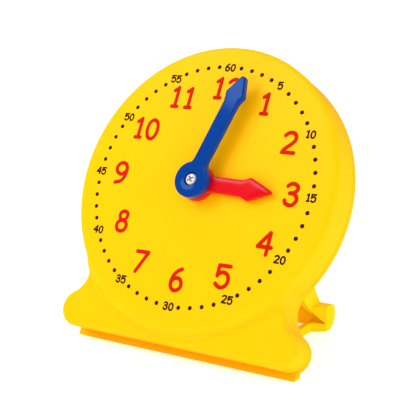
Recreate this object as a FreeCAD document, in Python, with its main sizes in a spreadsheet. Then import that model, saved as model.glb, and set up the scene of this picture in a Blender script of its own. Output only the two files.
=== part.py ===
import FreeCAD, Part
import math
import os
import re
import Sketcher

# A geared teaching clock: a round moulded dial on a low lobed base, leaning back on
# a hinged stand leg. Turning the minute hand drives the hour hand through a 12:1
# train behind the dial.
#
# Every piece is drawn in the dial's own frame: X to the right along the dial, Y up
# along the dial, Z out of the dial, with zero at the middle of the dial's face. The
# finished pieces are then leaned back and stood on the floor.

SIZES = (
    ("lean", 25.34, "angle of the dial back from upright, degrees"),
    # case
    ("disc_radius", 50.3, "outside of the round dial"),
    ("disc_raise", 3.0, "dial face in front of the base face"),
    ("disc_round", 2.0, "rounding of the dial's front edge"),
    ("shell_depth", 13.0, "dial face to the back edge of the front shell"),
    ("wall", 2.0, "side and base walls of the front shell"),
    ("dial_wall", 2.4, "thickness of the dial"),
    ("lobe_across", 40.8, "middle of a base lobe from the centre line"),
    ("lobe_drop", 49.0, "middle of a base lobe below the dial's middle"),
    ("lobe_radius", 6.3, "outside of a base lobe"),
    ("neck_radius", 10.0, "hollow between the dial and a lobe"),
    ("arch_radius", 900.0, "slight arch of the base's lower edge"),
    ("cover_thick", 2.0, "plate of the rear cover"),
    ("foot_drop", 8.39, "front edge of the foot lip's underside below the lobes"),
    ("lip_half", 44.0, "half length of the foot lip under the base"),
    ("pad_inner", 32.5, "start of a corner foot from the centre line"),
    ("pad_depth", 3.6, "corner foot behind the cover plate"),
    ("pad_height", 3.2, "corner foot above the floor"),
    ("pad_round", 3.0, "rounding of a corner foot's outer edge"),
    # fixings of the case
    ("post_radius", 3.2, "screw post of the case"),
    ("post_across", 30.0, "upper screw posts from the centre line"),
    ("post_rise", 28.0, "upper screw posts above the dial's middle"),
    ("case_screw_radius", 1.25, "shank of a case screw"),
    ("case_screw_reach", 7.0, "case screw below its head"),
    ("case_head_radius", 2.3, "head of a case screw"),
    ("case_head_high", 1.6, "height of a case screw's head"),
    ("screw_play", 0.15, "clearance of a screw in a drilled hole"),
    ("pilot_extra", 1.0, "pilot bore past the tip of its screw"),
    # gear train
    ("gear_module", 0.5, "tooth module"),
    ("pressure_angle", 20.0, "pressure angle, degrees"),
    ("backlash", 0.16, "play of each mesh at the pitch circle"),
    ("pinion_addendum", 1.0, "pinion tooth above the pitch circle, in modules"),
    ("wheel_addendum", 0.75, "wheel tooth above the pitch circle, in modules"),
    ("dedendum", 1.25, "tooth below the pitch circle, in modules"),
    ("minute_teeth", 15.0, "teeth of the minute pinion"),
    ("reduction_teeth", 45.0, "teeth of the reduction wheel"),
    ("small_teeth", 12.0, "teeth of the reduction pinion"),
    ("hour_teeth", 48.0, "teeth of the hour wheel"),
    ("wheel_face", 2.0, "width of a wheel's teeth"),
    ("pinion_face", 3.2, "width of the minute pinion's teeth"),
    ("axial_play", 0.1, "play between turning faces"),
    ("running_play", 0.05, "radial clearance of a running fit"),
    # shaft, sleeve, bush and axle
    ("shaft_radius", 1.5, "minute shaft"),
    ("sleeve_radius", 3.0, "outside of the hour wheel's sleeve"),
    ("bush_radius", 4.0, "outside of the dial bush"),
    ("bush_flange_radius", 5.0, "flange of the dial bush"),
    ("bush_flange_thick", 0.5, "flange of the dial bush"),
    ("pinion_boss_radius", 2.75, "boss of the minute pinion"),
    ("axle_radius", 1.0, "reduction axle"),
    ("axle_seat", 1.2, "reduction axle let into the dial"),
    ("axle_boss_radius", 2.4, "boss around the reduction axle"),
    ("spacer_radius", 2.2, "spacer on the reduction axle"),
    ("friction_radius", 3.4, "friction washer"),
    ("friction_thick", 0.3, "sheet of the friction washer"),
    ("friction_high", 1.0, "room of the dished friction washer"),
    ("clip_radius", 3.0, "shaft clip"),
    ("clip_thick", 0.5, "shaft clip"),
    ("clip_mouth", 0.9, "half width of the shaft clip's mouth"),
    ("groove_radius", 1.1, "bottom of the shaft's clip groove"),
    ("shaft_tail", 0.4, "shaft behind the clip"),
    # gear plate
    ("gear_post_radius", 2.75, "post of the gear plate"),
    ("gear_post_across", 18.0, "lower gear plate posts from the centre line"),
    ("gear_post_drop", 17.0, "lower gear plate posts below the dial's middle"),
    ("gear_post_rise", 17.5, "upper gear plate post above the dial's middle"),
    ("gear_plate_front", 10.4, "front face of the gear plate behind the dial face"),
    ("gear_plate_thick", 1.2, "gear plate"),
    ("gear_plate_margin", 5.5, "edge of the gear plate around its posts"),
    ("gear_screw_radius", 0.9, "shank of a gear plate screw"),
    ("gear_screw_reach", 5.0, "gear plate screw below its head"),
    ("gear_head_radius", 1.8, "head of a gear plate screw"),
    ("gear_head_high", 1.2, "height of a gear plate screw's head"),
    # hands
    ("hub_radius", 6.3, "hubs of both hands"),
    ("hub_round", 0.8, "rounding of a hub's rim"),
    ("hour_hub_base", 0.4, "underside of the hour hub in front of the dial"),
    ("hour_hub_thick", 2.8, "hour hub"),
    ("hand_gap", 0.3, "gap between the two hubs"),
    ("hand_washer_thick", 0.2, "washer between the hubs"),
    ("hand_washer_radius", 4.0, "washer between the hubs"),
    ("minute_hub_thick", 2.9, "minute hub"),
    ("arm_thick", 2.0, "arms of both hands"),
    ("arm_lift", 0.6, "underside of an arm above the underside of its hub"),
    ("minute_reach", 38.6, "minute hand, axis to tip"),
    ("minute_arm_half", 2.8, "half width of the minute hand's arm"),
    ("minute_head_half", 3.9, "half width of the minute hand's head"),
    ("minute_head_long", 6.7, "length of the minute hand's head"),
    ("minute_tip_half", 0.8, "half width of the blunt minute tip"),
    ("minute_angle", 16.6, "minute hand clockwise from twelve, degrees"),
    ("hour_reach", 28.8, "hour hand, axis to tip"),
    ("hour_arm_half", 2.85, "half width of the hour hand's arm"),
    ("hour_head_half", 4.05, "half width of the hour hand's head"),
    ("hour_head_long", 8.2, "length of the hour hand's head"),
    ("hour_tip_half", 0.5, "half width of the hour tip"),
    ("hour_angle", 91.4, "hour hand clockwise from twelve, degrees"),
    ("shoulder_long", 2.6, "length of the flare behind a hand's head"),
    ("hand_screw_radius", 1.0, "shank of the hand screw"),
    ("hand_screw_reach", 5.0, "hand screw below its head"),
    ("hand_head_radius", 1.98, "head of the hand screw"),
    ("hand_head_high", 1.6, "height of the hand screw's head"),
    ("recess_radius", 2.4, "counterbore in the minute hub"),
    ("recess_deep", 1.5, "counterbore in the minute hub"),
    ("cross_reach", 0.62, "reach of a cross recess as a share of its head's radius"),
    ("cross_half", 0.14, "half width of a cross slot as a share of its head's radius"),
    ("cross_deep", 0.55, "depth of a cross recess as a share of its head's height"),
    ("head_dome", 0.6, "rounding of a screw head as a share of its height"),
    # stand
    ("hinge_drop", 7.5, "hinge axis below the dial's middle"),
    ("hinge_gap", 5.0, "hinge axis behind the rear cover"),
    ("open_angle", 60.0, "leg swung out from the rear cover at its stop, degrees"),
    ("shut_angle", 4.0, "leg folded against the rear cover, degrees"),
    ("stop_gap", 0.1, "gap between the heel of the leg and the cover"),
    ("heel", 4.0, "length of the stop heel above the hinge axis"),
    ("leg_half", 25.7, "half width of the stand leg"),
    ("leg_back", 3.3, "outer face of the leg behind the hinge axis"),
    ("panel_thick", 2.0, "panel of the leg"),
    ("flange_thick", 2.2, "side flange of the leg"),
    ("window", 8.0, "start of the leg's panel below the hinge axis"),
    ("foot_reach", 30.3, "back of the foot bar behind the hinge axis, on the floor"),
    ("foot_half", 30.3, "half length of the foot bar"),
    ("foot_depth", 6.6, "foot bar front to back"),
    ("foot_high", 9.4, "foot bar above the floor"),
    ("foot_round", 5.0, "rounding of the foot bar's rear lower edge"),
    ("foot_top_round", 3.2, "rounding of the foot bar's rear upper edge"),
    ("foot_arch", 1.2, "hollow under the middle of the foot bar"),
    ("toe_long", 12.0, "runner in front of the foot bar"),
    ("toe_high", 3.3, "runner above the floor"),
    ("brace_high", 11.4, "height where a flange starts to narrow towards the foot bar"),
    ("brace_foot", 5.1, "front edge of a flange above the floor at the foot bar"),
    ("flare_long", 4.0, "flare of a flange in front of the foot bar"),
    ("flare_thin", 0.3, "flare at the end of the foot bar"),
    ("flare_low", 2.5, "underside of the flare above the floor at the end of the foot bar"),
    ("lug_thick", 2.6, "hinge lug of the rear cover"),
    ("lug_radius", 3.8, "hinge lug around its pin"),
    ("lug_gap", 0.3, "leg beside a hinge lug"),
    ("pin_radius", 1.5, "stand hinge pin"),
    ("pin_stand_out", 0.4, "hinge pin past each lug"),
    ("slot_gap", 0.5, "slot around a runner of the folded leg"),
    ("beyond", 60.0, "reach of a cut that leaves its piece"),
)

doc = FreeCAD.newDocument("teaching_clock")
sheet = doc.addObject("Spreadsheet::Sheet", "Sizes")
for row, (alias, number, note) in enumerate(SIZES, start=1):
    sheet.set(f"A{row}", alias)
    sheet.set(f"B{row}", str(number))
    sheet.setAlias(f"B{row}", alias)
    sheet.set(f"C{row}", note)
doc.recompute()

ALIASES = re.compile(r"\b(" + "|".join(alias for alias, _, _ in SIZES) + r")\b")


def on_sheet(expression):
    """The expression with each alias pointed at the spreadsheet."""
    return ALIASES.sub(r"Sizes.\1", expression)


def value(expression):
    """What the expression comes to now, in millimetres or degrees."""
    return float(sheet.evalExpression(expression))


# Heights in the dial's frame, worked out from the driving sizes.
SHELL_BACK = "(-shell_depth)"
COVER_BACK = "(-shell_depth - cover_thick)"
BASE_FACE = "(-disc_raise)"
HOUR_WHEEL_FRONT = "(-dial_wall - bush_flange_thick - axial_play)"
HOUR_WHEEL_BACK = f"({HOUR_WHEEL_FRONT} - wheel_face)"
PINION_BOSS_FRONT = f"({HOUR_WHEEL_BACK} - axial_play)"
GEAR_PLATE_FRONT = "(-gear_plate_front)"
GEAR_PLATE_BACK = "(-gear_plate_front - gear_plate_thick)"
PINION_BACK = f"({GEAR_PLATE_FRONT} + friction_high)"
PINION_FRONT = f"({PINION_BACK} + pinion_face)"
REDUCTION_WHEEL_MIDDLE = f"({PINION_BACK} + pinion_face / 2)"
REDUCTION_WHEEL_FRONT = f"({REDUCTION_WHEEL_MIDDLE} + wheel_face / 2)"
REDUCTION_WHEEL_BACK = f"({REDUCTION_WHEEL_MIDDLE} - wheel_face / 2)"
CLIP_FRONT = f"({GEAR_PLATE_BACK} - axial_play)"
CLIP_BACK = f"({CLIP_FRONT} - clip_thick)"
SHAFT_BACK = f"({CLIP_BACK} - shaft_tail)"
HOUR_HUB_TOP = "(hour_hub_base + hour_hub_thick)"
MINUTE_HUB_BASE = f"({HOUR_HUB_TOP} + hand_gap)"
MINUTE_HUB_TOP = f"({MINUTE_HUB_BASE} + minute_hub_thick)"
HAND_SCREW_SEAT = f"({MINUTE_HUB_TOP} - recess_deep)"
CENTRES = "(gear_module * (small_teeth + hour_teeth) / 2)"
BUSH_BORE = "(sleeve_radius + running_play)"
SHAFT_BORE = "(shaft_radius + running_play)"

# The dial's middle above the floor, the leg's hinge, and the floor under the open leg.
DIAL_HIGH = "((lobe_drop + foot_drop) * cos(lean) + shell_depth * sin(lean))"
HINGE_Y = "(-hinge_drop)"
HINGE_Z = f"({COVER_BACK} - hinge_gap)"
HINGE_HIGH = f"({DIAL_HIGH} + {HINGE_Y} * cos(lean) + {HINGE_Z} * sin(lean))"
SLOPE_COS = "cos(open_angle - lean)"
SLOPE_SIN = "sin(open_angle - lean)"
HUB = "(hinge_gap - stop_gap)"


def floor_y(depth):
    """Height along the dial at which the floor lies under a point at this depth."""
    return f"((-{DIAL_HIGH} - ({depth}) * sin(lean)) / cos(lean))"


def on_leg(back, up):
    """A place behind the hinge axis and above the floor, as seen by the leg."""
    along = f"(-(({HINGE_HIGH} - ({up})) * {SLOPE_COS} + ({back}) * {SLOPE_SIN}))"
    inward = f"(({HINGE_HIGH} - ({up})) * {SLOPE_SIN} - ({back}) * {SLOPE_COS})"
    return along, inward


# ---------------------------------------------------------------- sketches and features

# Each finished piece with its place in the dial's frame.
nodes = []
X_AXIS = FreeCAD.Vector(1, 0, 0)
Z_AXIS = FreeCAD.Vector(0, 0, 1)


def place(x="0", y="0", z="0", axis=Z_AXIS, angle="0"):
    base = FreeCAD.Vector(value(x), value(y), value(z))
    return FreeCAD.Placement(base, FreeCAD.Rotation(axis, value(angle)))


def new_body(label, spot=None):
    """A body named after its piece; one without a spot is only a pattern for copies."""
    body = doc.addObject("PartDesign::Body", label)
    body.Label = label
    if spot is not None:
        nodes.append((body, spot))
    return body


def origin_part(body, role):
    return next(part for part in body.Origin.OriginFeatures if part.Role == role)


def new_sketch(body, name, role="XY_Plane", offset="0"):
    """A sketch on one of the body's own origin planes, moved along its normal."""
    sketch = body.newObject("Sketcher::SketchObject", name)
    sketch.AttachmentSupport = [(origin_part(body, role), "")]
    sketch.MapMode = "FlatFace"
    sketch.setExpression("AttachmentOffset.Base.z", on_sheet(offset))
    return sketch


def dimension(sketch, kind, places, expression):
    """A driving dimension bound to the sheet."""
    index = sketch.addConstraint(Sketcher.Constraint(kind, *places, value(expression)))
    sketch.setExpression(f"Constraints[{index}]", on_sheet(expression))


def polygon(sketch, corners):
    """A closed outline with each corner placed by two expressions."""
    first = sketch.GeometryCount
    points = [FreeCAD.Vector(value(x), value(y), 0) for x, y in corners]
    for start, end in zip(points, points[1:] + points[:1]):
        sketch.addGeometry(Part.LineSegment(start, end))
    for number, (x, y) in enumerate(corners):
        following = (number + 1) % len(corners)
        join = Sketcher.Constraint("Coincident", first + number, 2, first + following, 1)
        sketch.addConstraint(join)
        dimension(sketch, "DistanceX", (-1, 1, first + number, 1), x)
        dimension(sketch, "DistanceY", (-1, 1, first + number, 1), y)
    return sketch


def rectangle(sketch, left, right, low, high):
    return polygon(sketch, ((left, low), (right, low), (right, high), (left, high)))


def circle(sketch, radius, x="0", y="0"):
    centre = FreeCAD.Vector(value(x), value(y), 0)
    ring = sketch.addGeometry(Part.Circle(centre, Z_AXIS, value(radius)))
    dimension(sketch, "Radius", (ring,), radius)
    dimension(sketch, "DistanceX", (-1, 1, ring, 3), x)
    dimension(sketch, "DistanceY", (-1, 1, ring, 3), y)
    return sketch


def extrude(kind, body, sketch, length, way):
    feature = body.newObject(kind, sketch.Name + "_solid")
    feature.Profile = sketch
    feature.Reversed = way == "back"
    if way == "both":
        feature.SideType = "Symmetric"
    feature.setExpression("Length", on_sheet(length))
    doc.recompute()
    return feature


def pad(body, sketch, length, way="forward"):
    """Material along the sketch's normal, against it, or half to each side."""
    return extrude("PartDesign::Pad", body, sketch, length, way)


def cut(body, sketch, length, way="forward"):
    """A pocket; forward here also means along the sketch's normal."""
    before = body.Shape.Volume
    sense = {"forward": "back", "back": "forward", "both": "both"}[way]
    feature = extrude("PartDesign::Pocket", body, sketch, length, sense)
    if not feature.Shape.Volume < before:
        raise RuntimeError(f"{feature.Name} cuts nothing")
    return feature


def loft(body, first, second):
    """Material with straight sides between two outlines."""
    feature = body.newObject("PartDesign::AdditiveLoft", first.Name + "_loft")
    feature.Profile = first
    feature.Sections = [second]
    feature.Ruled = True
    doc.recompute()
    return feature


def spin(body, sketch):
    """A full turn about the body's own Z axis, of a sketch on its XZ plane."""
    feature = body.newObject("PartDesign::Revolution", sketch.Name + "_turned")
    feature.Profile = sketch
    feature.ReferenceAxis = (origin_part(body, "Z_Axis"), [""])
    feature.Angle = 360
    doc.recompute()
    return feature


def repeat_round(body, feature, count):
    """The same cut all round the body's Z axis."""
    pattern = body.newObject("PartDesign::PolarPattern", feature.Name + "_round")
    pattern.Originals = [feature]
    pattern.Axis = (origin_part(body, "Z_Axis"), [""])
    pattern.Angle = 360
    pattern.setExpression("Occurrences", on_sheet(count))
    body.Tip = pattern
    doc.recompute()
    return pattern


def edges_where(feature, test):
    """Names of the feature's edges that pass the test."""
    return [f"Edge{n}" for n, edge in enumerate(feature.Shape.Edges, 1) if test(edge)]


def round_edges(body, feature, radius, test):
    names = edges_where(feature, test)
    if not names:
        raise RuntimeError(f"no edge of {feature.Name} to round")
    fillet = body.newObject("PartDesign::Fillet", feature.Name + "_rounded")
    fillet.Base = (feature, names)
    fillet.setExpression("Radius", on_sheet(radius))
    doc.recompute()
    return fillet


def is_ring(edge, radius, height):
    """True for a whole circle of this radius at this height."""
    if not isinstance(edge.Curve, Part.Circle) or not edge.Closed:
        return False
    same_radius = abs(edge.Curve.Radius - radius) < 1e-4
    return same_radius and abs(edge.Curve.Center.z - height) < 1e-4

# ---------------------------------------------------------------- case


def turn(point, middle):
    """Angle of a point about a middle, in radians."""
    return math.atan2(point[1] - middle[1], point[0] - middle[0])


def case_outline(sketch, inset="0"):
    """The dial's circle, two necks, two lobes and the arched lower edge, all tangent."""
    disc = f"disc_radius - ({inset})"
    neck = f"neck_radius + ({inset})"
    lobe = f"lobe_radius - ({inset})"
    arch = f"arch_radius + ({inset})"
    disc_r, neck_r, lobe_r, arch_r = (value(size) for size in (disc, neck, lobe, arch))
    lobe_x, lobe_y = value("lobe_across"), -value("lobe_drop")
    # A neck's middle lies one neck radius off both the dial and the lobe.
    spread = math.hypot(lobe_x, lobe_y)
    along = ((disc_r + neck_r) ** 2 - (neck_r + lobe_r) ** 2 + spread ** 2) / (2 * spread)
    aside = math.sqrt((disc_r + neck_r) ** 2 - along ** 2)
    neck_x = (lobe_x * along - lobe_y * aside) / spread
    neck_y = (lobe_y * along + lobe_x * aside) / spread
    arch_y = lobe_y - math.sqrt((arch_r + lobe_r) ** 2 - lobe_x ** 2)
    # Clockwise from the dial: middle, radius, size and whether the arc curves inward.
    rings = (
        (0, 0, disc_r, disc, False),
        (neck_x, neck_y, neck_r, neck, True),
        (lobe_x, lobe_y, lobe_r, lobe, False),
        (0, arch_y, arch_r, arch, True),
        (-lobe_x, lobe_y, lobe_r, lobe, False),
        (-neck_x, neck_y, neck_r, neck, True),
    )
    count = len(rings)
    meets = []
    for number, (x, y, radius, _, _) in enumerate(rings):
        other_x, other_y, other_radius, _, _ = rings[(number + 1) % count]
        share = radius / (radius + other_radius)
        meets.append((x + (other_x - x) * share, y + (other_y - y) * share))
    for number, (x, y, radius, _, inward) in enumerate(rings):
        enters, leaves = meets[number - 1], meets[number]
        first, last = (enters, leaves) if inward else (leaves, enters)
        whole = Part.Circle(FreeCAD.Vector(x, y, 0), Z_AXIS, radius)
        arc = Part.ArcOfCircle(whole, turn(first, (x, y)), turn(last, (x, y)))
        sketch.addGeometry(arc)
    for number, (_, _, _, size, inward) in enumerate(rings):
        following = (number + 1) % count
        leaving_end = 2 if inward else 1
        entering_end = 1 if rings[following][4] else 2
        tangent = Sketcher.Constraint("Tangent", number, leaving_end, following, entering_end)
        sketch.addConstraint(tangent)
        dimension(sketch, "Radius", (number,), size)
    sketch.addConstraint(Sketcher.Constraint("Coincident", 0, 3, -1, 1))
    for number, sign in ((2, ""), (4, "-")):
        dimension(sketch, "DistanceX", (-1, 1, number, 3), f"{sign}lobe_across")
        dimension(sketch, "DistanceY", (-1, 1, number, 3), "-lobe_drop")
    return sketch


def rounded_plate(sketch, corners, radius):
    """The outline that lies one radius outside a triangle given counterclockwise."""
    points = [(value(x), value(y)) for x, y in corners]
    size = value(radius)
    normals = []
    for (ax, ay), (bx, by) in zip(points, points[1:] + points[:1]):
        length = math.hypot(bx - ax, by - ay)
        normals.append(((by - ay) / length, (ax - bx) / length))
    for number, (x, y) in enumerate(points):
        (before_x, before_y), (after_x, after_y) = normals[number - 1], normals[number]
        whole = Part.Circle(FreeCAD.Vector(x, y, 0), Z_AXIS, size)
        first, last = math.atan2(before_y, before_x), math.atan2(after_y, after_x)
        sketch.addGeometry(Part.ArcOfCircle(whole, first, last))
        next_x, next_y = points[(number + 1) % len(points)]
        start = FreeCAD.Vector(x + size * after_x, y + size * after_y, 0)
        end = FreeCAD.Vector(next_x + size * after_x, next_y + size * after_y, 0)
        sketch.addGeometry(Part.LineSegment(start, end))
    total = 2 * len(points)
    for number, (x, y) in enumerate(corners):
        arc, line = 2 * number, 2 * number + 1
        sketch.addConstraint(Sketcher.Constraint("Tangent", arc, 2, line, 1))
        sketch.addConstraint(Sketcher.Constraint("Tangent", line, 2, (arc + 2) % total, 1))
        dimension(sketch, "Radius", (arc,), radius)
        dimension(sketch, "DistanceX", (-1, 1, arc, 3), x)
        dimension(sketch, "DistanceY", (-1, 1, arc, 3), y)
    return sketch


UPPER_POSTS = (("post_across", "post_rise"), ("-post_across", "post_rise"))
LOBE_POSTS = (("lobe_across", "-lobe_drop"), ("-lobe_across", "-lobe_drop"))
CASE_POSTS = UPPER_POSTS + LOBE_POSTS
GEAR_POSTS = (
    ("-gear_post_across", "-gear_post_drop"),
    ("gear_post_across", "-gear_post_drop"),
    ("0", "gear_post_rise"),
)
SIDES = (("forward", ""), ("back", "-"))


def front_case():
    body = new_body("front_case", place())
    outline = case_outline(new_sketch(body, "case_edge", offset=BASE_FACE))
    pad(body, outline, "shell_depth - disc_raise", "back")
    disc = circle(new_sketch(body, "dial_edge", offset=BASE_FACE), "disc_radius")
    raised = pad(body, disc, "disc_raise")
    radius = value("disc_radius")
    round_edges(body, raised, "disc_round", lambda e: is_ring(e, radius, 0))
    # Hollow the base and the dial from behind.
    inner = case_outline(new_sketch(body, "base_hollow", offset=SHELL_BACK), "wall")
    cut(body, inner, "shell_depth - disc_raise - wall")
    room = circle(new_sketch(body, "dial_hollow", offset=SHELL_BACK), "disc_radius - wall")
    cut(body, room, "shell_depth - dial_wall")
    for places, into_front in ((UPPER_POSTS, "dial_wall / 2"),
                               (LOBE_POSTS, "(disc_raise + wall / 2)")):
        for x, y in places:
            post = new_sketch(body, "case_post", offset=SHELL_BACK)
            circle(post, "post_radius", x, y)
            pad(body, post, f"shell_depth - {into_front}")
    for x, y in CASE_POSTS:
        pilot = new_sketch(body, "case_pilot", offset=SHELL_BACK)
        circle(pilot, "case_screw_radius", x, y)
        cut(body, pilot, "case_screw_reach - cover_thick + pilot_extra")
    for x, y in GEAR_POSTS:
        post = new_sketch(body, "gear_post", offset=GEAR_PLATE_FRONT)
        circle(post, "gear_post_radius", x, y)
        pad(body, post, "gear_plate_front - dial_wall")
        pilot = new_sketch(body, "gear_pilot", offset=GEAR_PLATE_FRONT)
        circle(pilot, "gear_screw_radius", x, y)
        cut(body, pilot, "gear_screw_reach - gear_plate_thick + pilot_extra")
    bush_seat = circle(new_sketch(body, "bush_seat"), "bush_radius")
    cut(body, bush_seat, "dial_wall", "back")
    boss_face = "(-dial_wall - bush_flange_thick)"
    boss = new_sketch(body, "axle_boss", offset=boss_face)
    circle(boss, "axle_boss_radius", "0", f"-{CENTRES}")
    pad(body, boss, "bush_flange_thick")
    seat = new_sketch(body, "axle_seat", offset=boss_face)
    circle(seat, "axle_radius", "0", f"-{CENTRES}")
    cut(body, seat, "bush_flange_thick + axle_seat")


def rear_cover():
    body = new_body("rear_cover", place())
    plate = case_outline(new_sketch(body, "cover_edge", offset=SHELL_BACK))
    pad(body, plate, "cover_thick", "back")
    # The foot lip: its underside lies flat on the floor.
    lip = new_sketch(body, "foot_lip", "YZ_Plane")
    polygon(lip, (
        (floor_y(SHELL_BACK), SHELL_BACK),
        (floor_y(COVER_BACK), COVER_BACK),
        ("-lobe_drop", COVER_BACK),
        ("-lobe_drop", SHELL_BACK),
    ))
    pad(body, lip, "2 * lip_half", "both")
    pad_back = f"({COVER_BACK} - pad_depth)"
    for way, sign in SIDES:
        corner = new_sketch(body, "corner_foot", "YZ_Plane", f"{sign}pad_inner")
        polygon(corner, (
            (floor_y(COVER_BACK), COVER_BACK),
            (floor_y(pad_back), pad_back),
            (f"{floor_y(pad_back)} + pad_height", pad_back),
            (f"{floor_y(pad_back)} + pad_height", COVER_BACK),
        ))
        block = pad(body, corner, "lip_half - pad_inner", way)
    end, back = value("lip_half"), value(pad_back)

    def is_outer_corner(edge):
        """The rear outer edge of a corner foot."""
        box = edge.BoundBox
        outside = abs(abs(box.Center.x) - end) < 1e-4 and box.XLength < 1e-4
        return outside and abs(box.Center.z - back) < 1e-4 and box.ZLength < 1e-4

    round_edges(body, block, "pad_round", is_outer_corner)
    for way, sign in SIDES:
        at = f"{sign}(leg_half + lug_gap)"
        root = new_sketch(body, "lug_root", "YZ_Plane", at)
        rectangle(root, f"{HINGE_Y} - lug_radius", f"{HINGE_Y} + lug_radius", HINGE_Z, COVER_BACK)
        pad(body, root, "lug_thick", way)
        eye = circle(new_sketch(body, "lug_eye", "YZ_Plane", at), "lug_radius", HINGE_Y, HINGE_Z)
        pad(body, eye, "lug_thick", way)
    bore = circle(new_sketch(body, "lug_bore", "YZ_Plane"), "pin_radius", HINGE_Y, HINGE_Z)
    cut(body, bore, "2 * beyond", "both")
    for x, y in CASE_POSTS:
        hole = new_sketch(body, "case_screw_hole", offset=SHELL_BACK)
        circle(hole, "case_screw_radius + screw_play", x, y)
        cut(body, hole, "cover_thick", "back")
    # Slots that take the runners of the folded leg.
    high = f"{HINGE_Y} + {TOE_TIP_TOP[0]} + slot_gap"
    low = f"{HINGE_Y} - {RUNNER_AT_COVER} - slot_gap"
    inner, outer = "(leg_half - flange_thick - slot_gap)", "(leg_half + slot_gap)"
    for left, right in ((inner, outer), (f"-{outer}", f"-{inner}")):
        slot = new_sketch(body, "runner_slot", offset=SHELL_BACK)
        rectangle(slot, left, right, low, high)
        cut(body, slot, "cover_thick", "back")


# ---------------------------------------------------------------- screws


def screw(label, shank, reach, head, high, spot=None):
    """A cross-recessed pan head screw seated at its own origin, pointing down."""
    body = new_body(label, spot)
    profile = new_sketch(body, "screw_profile", "XZ_Plane")
    polygon(profile, (
        ("0", f"-{reach}"),
        (f"{shank} / 2", f"-{reach}"),
        (shank, f"-{reach} + {shank} / 2"),
        (shank, "0"),
        (head, "0"),
        (head, high),
        ("0", high),
    ))
    turned = spin(body, profile)
    radius, top = value(head), value(high)
    round_edges(body, turned, f"{high} * head_dome", lambda e: is_ring(e, radius, top))
    arm, half = f"{head} * cross_reach", f"{head} * cross_half"
    cross = new_sketch(body, "cross_recess", offset=high)
    polygon(cross, (
        (half, half), (arm, half), (arm, f"-{half}"), (half, f"-{half}"),
        (half, f"-{arm}"), (f"-{half}", f"-{arm}"), (f"-{half}", f"-{half}"),
        (f"-{arm}", f"-{half}"), (f"-{arm}", half), (f"-{half}", half),
        (f"-{half}", arm), (half, arm),
    ))
    cut(body, cross, f"{high} * cross_deep", "back")
    return body


def screw_group(label, original, places, seat):
    """Copies of one screw driven forward from a seat behind the dial, as one node."""
    group = doc.addObject("Part::Feature", label)
    group.Label = label
    copies = []
    for x, y in places:
        copy = original.Shape.copy()
        copy.Placement = place(x, y, seat, X_AXIS, "180")
        copies.append(copy)
    group.Shape = Part.makeCompound(copies)
    nodes.append((group, place()))


def screws():
    case_screw = screw("case_screw", "case_screw_radius", "case_screw_reach",
                       "case_head_radius", "case_head_high")
    screw_group("case_screws", case_screw, CASE_POSTS, COVER_BACK)
    gear_screw = screw("gear_plate_screw", "gear_screw_radius", "gear_screw_reach",
                       "gear_head_radius", "gear_head_high")
    screw_group("gear_plate_screws", gear_screw, GEAR_POSTS, GEAR_PLATE_BACK)
    screw("hand_screw", "hand_screw_radius", "hand_screw_reach",
          "hand_head_radius", "hand_head_high", place(z=HAND_SCREW_SEAT))


# ---------------------------------------------------------------- gear train


def involute(angle):
    return math.tan(angle) - angle


def arc_through(first, middle, last):
    """The circular arc through three points, as sketch geometry."""
    edge = Part.Arc(first, middle, last).toShape()
    curve = edge.Curve
    if curve.Axis.z < 0:
        curve = Part.Circle(curve.Center, Z_AXIS, curve.Radius)
    start, end = (turn(point, curve.Center) for point in (first, last))
    # Run counterclockwise through the middle point.
    full = 2 * math.pi
    if (turn(middle, curve.Center) - start) % full > (end - start) % full:
        start, end = end, start
    return Part.ArcOfCircle(Part.Circle(curve.Center, Z_AXIS, curve.Radius), start, end)


def tooth_gap(sketch, teeth, addendum, towards):
    """The space between two involute teeth, with its middle at an angle in degrees."""
    count, module = value(teeth), value("gear_module")
    pressure = math.radians(value("pressure_angle"))
    pitch = count * module / 2
    base = pitch * math.cos(pressure)
    tip = pitch + value(addendum) * module
    root = pitch - value("dedendum") * module
    thick = math.pi * module / 2 - value("backlash") / 2

    def flank(radius, side):
        """A point of a tooth's flank at this radius, on one side of the gap."""
        roll = math.acos(base / radius) if radius > base else 0.0
        tooth = thick / (2 * pitch) + involute(pressure) - involute(roll)
        angle = math.radians(towards) + side * (math.pi / count - tooth)
        return FreeCAD.Vector(radius * math.cos(angle), radius * math.sin(angle), 0)

    start = max(base, root)
    outside = tip + module / 4
    for side in (-1, 1):
        foot, shoulder, crest = flank(root, side), flank(start, side), flank(tip, side)
        if start > root:
            sketch.addGeometry(Part.LineSegment(foot, shoulder))
        sketch.addGeometry(arc_through(shoulder, flank((start + tip) / 2, side), crest))
        sketch.addGeometry(Part.LineSegment(crest, crest * (outside / tip)))
    mouth = [flank(tip, side) * (outside / tip) for side in (-1, 1)]
    sketch.addGeometry(Part.LineSegment(*mouth))
    middle = math.radians(towards)
    bottom = FreeCAD.Vector(root * math.cos(middle), root * math.sin(middle), 0)
    sketch.addGeometry(arc_through(flank(root, -1), bottom, flank(root, 1)))
    return sketch


def toothed(body, teeth, addendum, back, face, towards):
    """A toothed rim on the body's axis, from its back face forward."""
    rim = new_sketch(body, "rim", offset=back)
    circle(rim, f"gear_module * ({teeth} / 2 + {addendum})")
    pad(body, rim, face)
    gap = tooth_gap(new_sketch(body, "gap", offset=back), teeth, addendum, towards)
    repeat_round(body, cut(body, gap, face), teeth)


def bored(body, radius):
    """A bore right through, on the body's axis."""
    hole = circle(new_sketch(body, "bore", offset="-beyond"), radius)
    cut(body, hole, "2 * beyond")


def cylinder(body, name, radius, back, length):
    pad(body, circle(new_sketch(body, name, offset=back), radius), length)


# Directions of the line of centres, seen from the dial's and from the axle's middle.
DOWN, UP = -90.0, 90.0


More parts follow.
